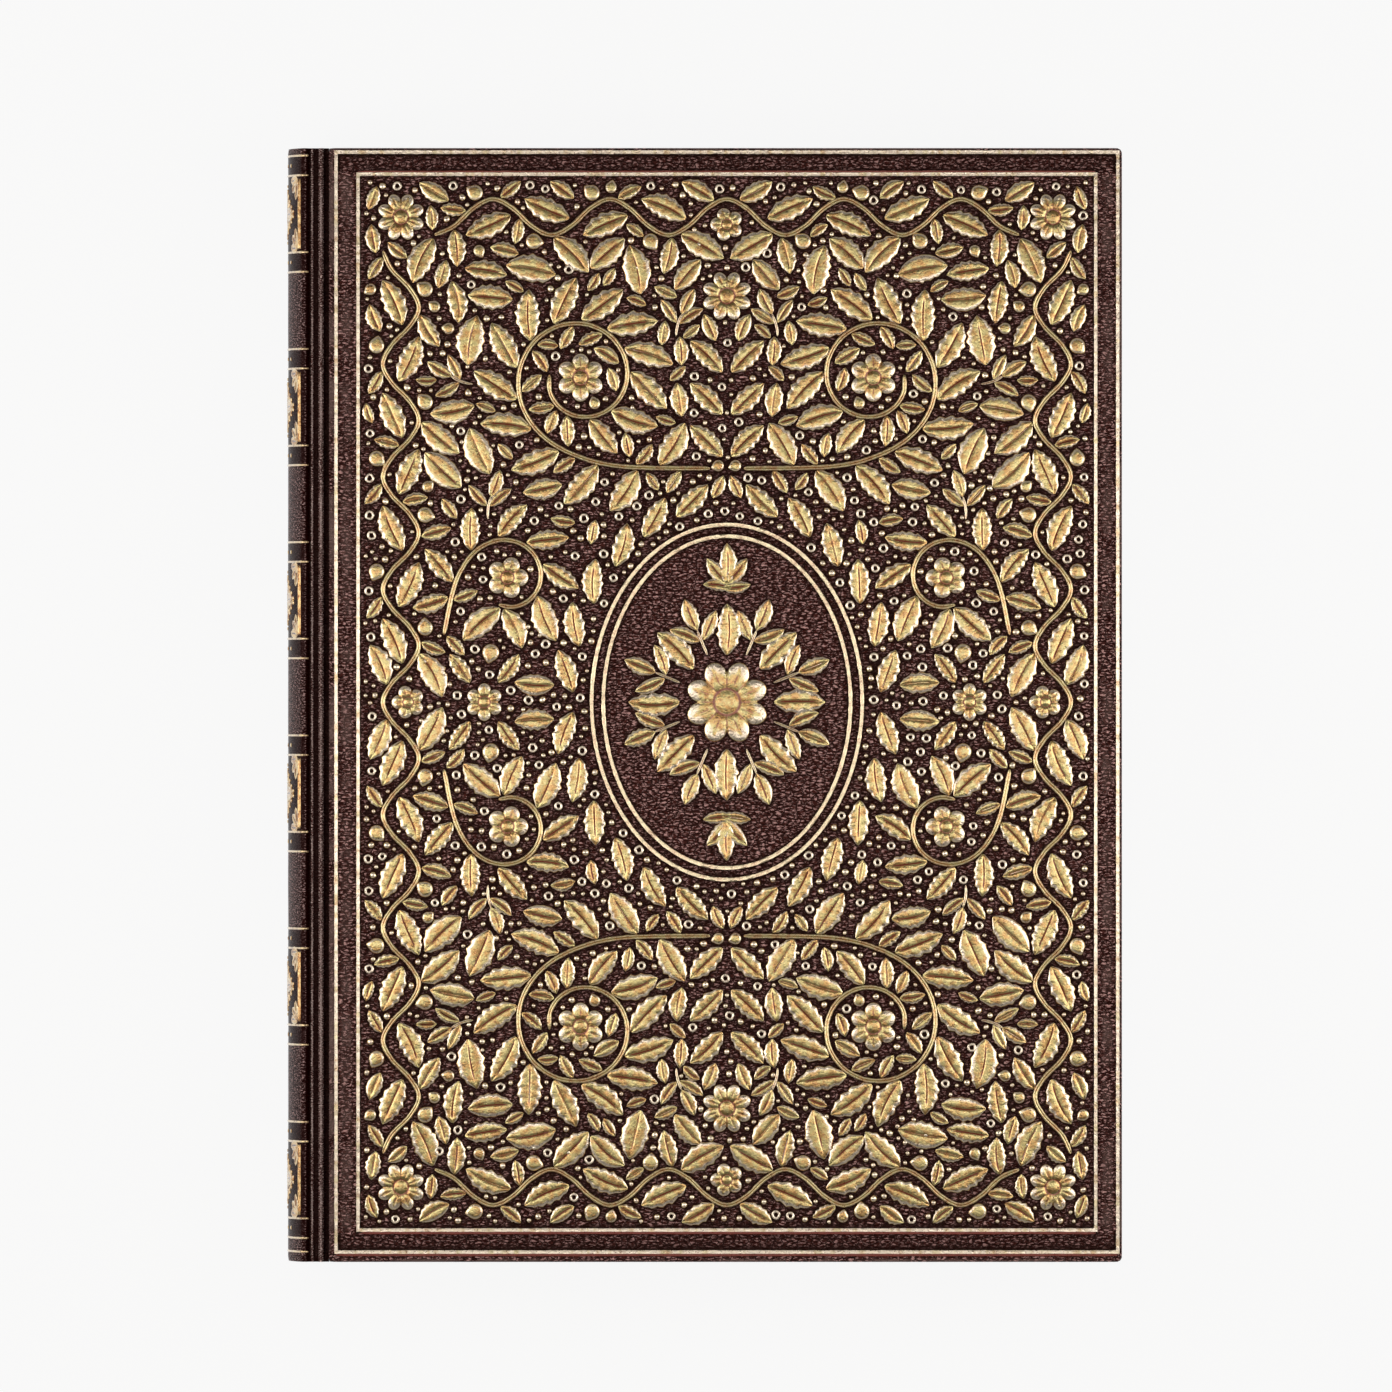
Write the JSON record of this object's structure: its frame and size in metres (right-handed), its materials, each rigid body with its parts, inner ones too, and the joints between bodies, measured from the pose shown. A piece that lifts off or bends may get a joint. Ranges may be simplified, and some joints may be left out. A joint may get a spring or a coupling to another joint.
{
  "type": "leather book",
  "caption": "Bound book in grained leather with a raised gilt front cover, a rounded gilt spine and two covers that open.",
  "frame": {"origin": "middle of the shut book's outline, on the surface that the back cover lies on", "axes": "+X from the spine to the fore edge, +Y from the tail to the head, +Z out of the front cover"},
  "size_m": [0.1576, 0.21, 0.026],
  "materials": {
    "paper": "matte",
    "endpaper": "matte",
    "cloth": "matte",
    "lining_paper": "matte",
    "card": "matte",
    "band_silk": "satin",
    "leather": "satin",
    "gilt": "satin"
  },
  "bodies": {
    "book_block": {"text_block": "paper", "front_flyleaf": "endpaper", "back_flyleaf": "endpaper", "mull": "cloth", "spine_lining": "lining_paper", "spine_stiffener": "card", "head_band": "band_silk", "tail_band": "band_silk", "spine_leather": "leather", "spine_gilt_panels": "gilt", "spine_gilt_fillets": "gilt", "spine_gilt_dots": "gilt", "front_joint_leather": "leather", "back_joint_leather": "leather"},
    "front_cover": {"front_board": "card", "front_leather": "leather", "front_pastedown": "endpaper", "front_gilt_frame": "gilt", "front_gilt_stems": "gilt", "front_gilt_leaves": "gilt", "front_gilt_blossoms": "gilt", "front_gilt_buds": "gilt", "front_gilt_medallion": "gilt"},
    "back_cover": {"back_board": "card", "back_leather": "leather", "back_pastedown": "endpaper"}
  },
  "joints": [
    {"name": "front_cover_hinge", "type": "hinge", "parent": "book_block", "child": "front_cover", "pos_m": [-0.07258, 0, 0.0256], "axis": [0, -1, 0], "range_deg": [0, 180], "deforming": ["front_joint_leather"]},
    {"name": "back_cover_hinge", "type": "hinge", "parent": "book_block", "child": "back_cover", "pos_m": [-0.07258, 0, 0], "axis": [0, 1, 0], "range_deg": [0, 180], "deforming": ["back_joint_leather"]}
  ]
}
